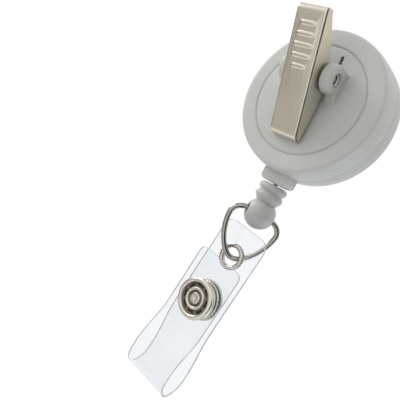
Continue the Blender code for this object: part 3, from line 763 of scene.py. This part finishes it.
def make_d_ring(kinds):
    """A straight bar in the bead, round shoulders and a bow down to the apex."""
    bar, half, shoulder = 3.1, RING_HALF, 2.5
    deep = RING_BAR_Z - RING_APEX_Z
    corner = bezier((bar, 0), (bar + 1.3, 0), (half, -shoulder + 1.4), (half, -shoulder), 12)
    bow = bezier((half, -shoulder), (half, -shoulder - 3.3), (2.9, -deep), (0, -deep), 26)
    right = [Vector((bar * i / 6, 0)) for i in range(6)] + corner + bow
    left = [Vector((-p.x, p.y)) for p in reversed(right[1:])]
    turn = Matrix.Rotation(RING_TURN, 3, "Z")
    points = [turn @ Vector((p.x, 0, RING_BAR_Z + p.y)) for p in [*right, Vector((0, -deep)), *left]]
    mesh = tube("ring", points, WIRE_R, 20, closed=True)
    show("d_ring_wire", mesh, [kinds["wire"]], ["d_ring"], "d_ring", True)


def leg_line(y, top, corner, steps):
    """Down one leg: closely spaced over its rounded end, then evenly to the start of the fold."""
    ends = (0, 0.01, 0.04, 0.09, 0.16, 0.26, 0.4, 0.6, 1.0)
    straight = top - corner
    heights = [top - corner * share for share in ends]
    heights += [straight - (straight - FOLD_START) * i / steps for i in range(1, steps)]
    return [Vector((0, y, z)) for z in heights]


def strap_line():
    """The strap's middle line, from its eyelet end, round the fold and up to its free end."""
    back = leg_line(0, STRAP_TOP, BACK_CORNER, 12)
    front = leg_line(FLAP_Y, FLAP_TOP, FLAP_CORNER, 8)
    fold = [
        (0, 0, FOLD_START), (0, -0.25, -56.3), (0, -1.1, -61), (0, -1.5, -65), (0, -1.05, -68.6),
        (0, LOOP_Y, LOOP_Z), (0, 4.25, -68.6), (0, 4.8, -65), (0, 4.35, -61), (0, 3.0, -56.3),
        (0, FLAP_Y, FOLD_START),
    ]  # fmt: skip
    return [*back, *smooth_line(fold, 8), *reversed(front)]


def strap_section(point, normal, half, gone):
    """Points round the strip at one place. The sheet is slightly crowned, and its fold is a little skew."""
    skew_from, skew = -52.0, 0.09
    share = min(max((skew_from - point.z) / (skew_from - LOOP_Z), 0.0), 1.0)
    lean = skew * share**1.5
    ripple = 0.05 * sin(gone * 0.21) * min(1.0, gone / 30)
    inner = [(half - RIM_WIDTH) * (2 * i / (STRIP_COLUMNS - 2) - 1) for i in range(STRIP_COLUMNS - 1)]
    front, back = [], []
    for x in [-half, *inner, half]:
        lift = (0.06 * (x / STRAP_HALF) ** 2 + ripple * x / STRAP_HALF) * 0.5
        place = point + Vector((x, 0, -lean * x))
        front.append(place + normal * (STRAP_T / 2 - 0.04 + lift))
        back.append(place + normal * (-STRAP_T / 2 + 0.04 + lift))
    return [*front, *reversed(back)]


def strap_mesh():
    """The strip's skin. Its sides and ends are cut edges, and a narrow rim runs along them on both faces;
    both are painted grey as the dark reflection along the clear sheet's edges.
    """
    line = strap_line()
    lengths = [0.0]
    for a, b in zip(line, line[1:]):
        lengths.append(lengths[-1] + (b - a).length)
    bm = bmesh.new()
    rows = []
    for i, point in enumerate(line):
        along = (line[min(i + 1, len(line) - 1)] - line[max(i - 1, 0)]).normalized()
        corner = BACK_CORNER if i < len(line) / 2 else FLAP_CORNER
        short = max(corner - min(lengths[i], lengths[-1] - lengths[i]), 0.0)
        half = STRAP_HALF - corner + sqrt(max(corner**2 - short**2, 0.0))
        section = strap_section(point, Vector((0, -along.z, along.y)), half, lengths[i])
        rows.append([bm.verts.new(p) for p in section])
    count, last = len(rows[0]), STRIP_COLUMNS
    sides, rims = (last, count - 1), (0, last - 1, last + 1, count - 2)
    for i, (a, b) in enumerate(zip(rows, rows[1:])):
        at_end = min(lengths[i + 1], lengths[-1] - lengths[i]) < 0.12
        for k in range(count):
            face = bm.faces.new((a[k], a[(k + 1) % count], b[(k + 1) % count], b[k]))
            if k in sides:
                face.material_index = CUT_EDGE
            elif k in rims or at_end:
                face.material_index = RIM
    for row in (rows[0], rows[-1]):
        for k in range(last):
            face = bm.faces.new((row[k], row[k + 1], row[count - 2 - k], row[count - 1 - k]))
            face.material_index = CUT_EDGE
    return finish_mesh(bm, "strap", 40)


def make_strap(kinds):
    """One clear strip, pierced for the eyelet and the press stud."""
    mesh = strap_mesh()
    finishes = [kinds["vinyl"], kinds["edge"], kinds["rim"]]
    for material in finishes:  # the cuts below keep a face's material only if the mesh has it
        mesh.materials.append(material)
    eyelet = moved(rod(2.35, -1, 1, "Y"), (0, 0, EYELET_Z))
    stud = moved(rod(1.2, -2, 6, "Y"), (0, 0, SNAP_Z))
    mesh = combine(mesh, [("DIFFERENCE", eyelet), ("DIFFERENCE", stud)], 40)
    legs = ["strap_back_leg", "strap_front_leg"]
    strip = show("strap_vinyl", mesh, finishes, legs, hanging=True)
    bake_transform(strip)


def make_eyelet(kinds):
    """A tube rolled over on both faces of the strap."""
    face = STRAP_T / 2 + 0.03
    side = [(3.0, face), (3.02, face + 0.3), (2.6, face + 0.5), (2.2, face + 0.42), (2.0, face + 0.1)]
    profile = [(2.3, face), *side, *[(r, -h) for r, h in reversed(side)], (2.3, -face)]
    mesh = lathe("eyelet", fillet(profile, 0.16, 3, True), "Y", 72, closed=True)
    mesh = moved(mesh, (0, 0, EYELET_Z))
    show("strap_eyelet_rolled", mesh, [kinds["eyelet"]], ["strap_eyelet"], "strap", True)


# ---------------------------------------------------------------- press stud

# Each piece's outline, as (radius, height from the strap's back leg).
SNAP_PROFILES = {
    "snap_front_ring": [
        (0, 3.5), (0.12, 3.42), (0.25, 3.55), (1.2, 3.6), (1.35, 3.2), (1.7, 3.2), (1.9, 3.72),
        (2.4, 3.75), (2.65, 3.15), (3.4, 3.1), (3.62, 3.8), (4.05, 4.0), (4.6, 3.72), (4.75, 3.25),
        (4.6, 2.92), (1.0, 2.92), (1.0, 2.5), (0, 2.5),
    ],
    "snap_socket": [
        (0, 2.42), (4.0, 2.42), (4.35, 2.1), (4.35, 1.65), (3.9, 1.35), (3.0, 1.3), (2.6, 1.05),
        (1.8, 1.05), (1.8, 1.3), (2.25, 1.45), (2.25, 2.05), (0, 2.05),
    ],
    "snap_stud": [
        (0, 1.85), (1.1, 1.85), (1.45, 1.6), (1.3, 1.2), (1.35, 0.85), (3.9, 0.85), (4.35, 0.6),
        (4.35, 0.3), (1.0, 0.28), (1.0, -0.15), (0, -0.15),
    ],
    "snap_back_ring": [
        (0, -0.25), (4.55, -0.25), (4.75, -0.5), (4.6, -0.9), (4.1, -1.15), (3.5, -1.05), (3.2, -0.6),
        (2.3, -0.6), (2.1, -0.95), (0.2, -0.98), (0, -0.9),
    ],
}  # fmt: skip
SNAP_BODIES = {
    "snap_front_ring": "strap_flap",
    "snap_socket": "strap_flap",
    "snap_stud": "strap",
    "snap_back_ring": "strap",
}
# Where each piece's grooves are painted dark as shade: the material's place, inner and outer radius, lowest
# and highest place.
SNAP_GROOVE_SHADE = {
    "snap_front_ring": [
        (DARK, 1.25, 1.85, 3.0, 3.45), (DARK, 2.55, 3.5, 2.95, 3.6), (DARKEST, 2.7, 3.35, 2.95, 3.08),
    ],
    "snap_socket": [(DARK, 2.4, 4.2, 1.0, 1.5)],
    "snap_stud": [(DARK, 1.3, 4.2, 0.75, 0.95)],
    "snap_back_ring": [(DARK, 2.2, 3.35, -0.85, -0.5)],
}  # fmt: skip


def paint_groove_shade(mesh, grooves):
    # faces inside each listed groove take a darker finish: painted shade
    for face in mesh.polygons:
        r, h = sqrt(face.center.x**2 + face.center.z**2), face.center.y
        for finish, inner, outer, low, high in grooves:
            if inner < r < outer and low < h < high:
                face.material_index = finish


def pressed_slots():
    """Eight short curved slots in the front ring's groove."""
    outline = arc((0, 0), 3.3, -15, 15, 5) + arc((0, 0), 2.75, 15, -15, 5)
    slots = []
    for number in range(8):
        slot = prism("slot", outline, 2.97, 3.6, "Y")
        slots.append(("DIFFERENCE", moved(slot, (0, 0, 0), radians(45 * number + 12), "Y")))
    return slots


def make_snap(kinds):
    """Four turned pieces and the open wire ring inside the socket."""
    # the second and third finishes are painted shade for the grooves and the pressed slots
    finishes = [kinds["snap"], kinds["dark_nickel_paint"], kinds["slot"]]
    for name, profile in SNAP_PROFILES.items():
        mesh = lathe(name, fillet(profile, 0.22, 4), "Y", 96)
        if name == "snap_front_ring":
            mesh = combine(mesh, pressed_slots())
        paint_groove_shade(mesh, SNAP_GROOVE_SHADE[name])
        mesh = moved(mesh, (0, 0, SNAP_Z))
        show(f"{name}_turned", mesh, finishes, [name], SNAP_BODIES[name], True)
    ring_r, ring_y, gap, steps = 1.95, 1.72, radians(40), 48
    turns = [gap / 2 + (2 * pi - gap) * i / steps for i in range(steps + 1)]
    points = [(ring_r * cos(a), ring_y, SNAP_Z + ring_r * sin(a)) for a in turns]
    mesh = tube("snap_spring", points, 0.2, 12)
    node = "snap_socket_spring"
    show(f"{node}_wire", mesh, [kinds["steel"]], [node], "strap_flap", True)


# ---------------------------------------------------------------- hidden CAD nodes, stage, camera


def dress_hidden(kinds):
    """CAD nodes inside the case and the bead keep their shapes and get finishes."""
    finishes = {
        "drum": "drum",
        "power_spring": "steel",
        "cord_winding": "cord",
        "cord_anchor": "cord",
        "cord_knot": "cord",
    }
    for name, kind in finishes.items():
        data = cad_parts[name].data
        data.materials.clear()
        data.materials.append(kinds[kind])


def rectangle(name, half_width, half_height, z, material):
    """A flat card or floor, facing up."""
    w, h = half_width, half_height
    mesh = bpy.data.meshes.new(name)
    mesh.from_pydata([(-w, -h, z), (w, -h, z), (w, h, z), (-w, h, z)], [], [(0, 1, 2, 3)])
    mesh.materials.append(material)
    obj = placed(name, mesh)
    return obj


def aim(obj, towards, distance):
    """Puts a card or lamp in a direction from the case, with its Z axis away from it."""
    towards = Vector(towards).normalized()
    obj.rotation_mode = "QUATERNION"
    obj.rotation_quaternion = towards.to_track_quat("Z", "Y")
    obj.location = REEL + towards * distance


def emitter(name, colour):
    made = bpy.data.materials.new(name)
    made.use_nodes = True
    tree = made.node_tree
    tree.nodes.clear()
    light = tree.nodes.new("ShaderNodeEmission")
    light.inputs["Color"].default_value = (*colour, 1)
    light.inputs["Strength"].default_value = 1.0
    out = tree.nodes.new("ShaderNodeOutputMaterial")
    tree.links.new(light.outputs[0], out.inputs["Surface"])
    return made


def card(name, towards, size, colour, distance=0.5):
    """A studio card seen only in reflections."""
    obj = rectangle(name, size[0] / 2, size[1] / 2, 0, emitter(name, colour))
    aim(obj, towards, distance)
    obj.visible_camera = False
    obj.visible_diffuse = False
    obj.visible_transmission = False
    obj.visible_shadow = False
    return obj


def area_light(name, towards, distance, size, power, colour):
    light = bpy.data.lights.new(name, "AREA")
    light.size = size
    light.energy = power
    light.color = colour
    aim(placed(name, light), towards, distance)


def make_floor():
    """Far enough below for the cord at its full length."""
    floor_z, reach = -0.74, 0.45
    pale = Material("pale_floor", 0.7)
    pale.set("Base Color", (0.9, 0.9, 0.9, 1))
    rectangle("floor", reach, reach, floor_z, pale.data)


def make_studio():
    """A white room, with cards that give the metal something to mirror, and two soft lamps."""
    world = bpy.data.worlds.new("studio")
    bpy.context.scene.world = world
    world.use_nodes = True
    background = world.node_tree.nodes["Background"]
    background.inputs["Color"].default_value = (1, 1, 1, 1)
    background.inputs["Strength"].default_value = 1.0
    make_floor()
    card("grey_card", (0.55, 0.62, -0.53), (0.36, 0.5), (0.50, 0.48, 0.45))
    card("dark_right", (-0.95, 0.13, -0.29), (0.5, 0.95), (0.012, 0.012, 0.014))
    card("back_card", (-0.50, -0.84, 0.21), (0.4, 0.5), (0.74, 0.72, 0.65))
    card("dark_left", (0.95, 0.25, 0.20), (0.36, 0.95), (0.02, 0.02, 0.022))
    flag = card("flag", (-0.85, 0.35, -0.40), (0.15, 0.2), (0.03, 0.03, 0.032), 0.13)
    flag.visible_diffuse = True  # it only darkens the case's near side, and no metal mirrors it
    flag.visible_glossy = False
    area_light("key", (0.92, 0.30, 0.42), 0.3, 0.16, 0.42, (1.0, 0.99, 0.95))
    area_light("fill", (-0.8, -0.3, -0.6), 0.6, 0.4, 1.0, (0.85, 0.95, 1.0))
    bpy.context.scene.view_settings.view_transform = "Standard"


def make_camera():
    data = bpy.data.cameras.new("camera")
    data.lens = CAMERA_LENS
    data.clip_start = 0.005
    camera = placed("camera", data)
    camera.location = CAMERA_PLACE * MM + REEL
    camera.rotation_euler = Euler([radians(turn) for turn in CAMERA_TURN], "XYZ")
    bpy.context.scene.camera = camera


def main():
    kinds = make_materials()
    make_studio()
    make_camera()
    make_case(kinds)
    make_clip_base(kinds)
    make_lever(kinds)
    make_pin(kinds)
    make_clip_spring(kinds)
    make_cord(kinds)
    make_bead(kinds)
    make_d_ring(kinds)
    make_strap(kinds)
    make_eyelet(kinds)
    make_snap(kinds)
    dress_hidden(kinds)


main()
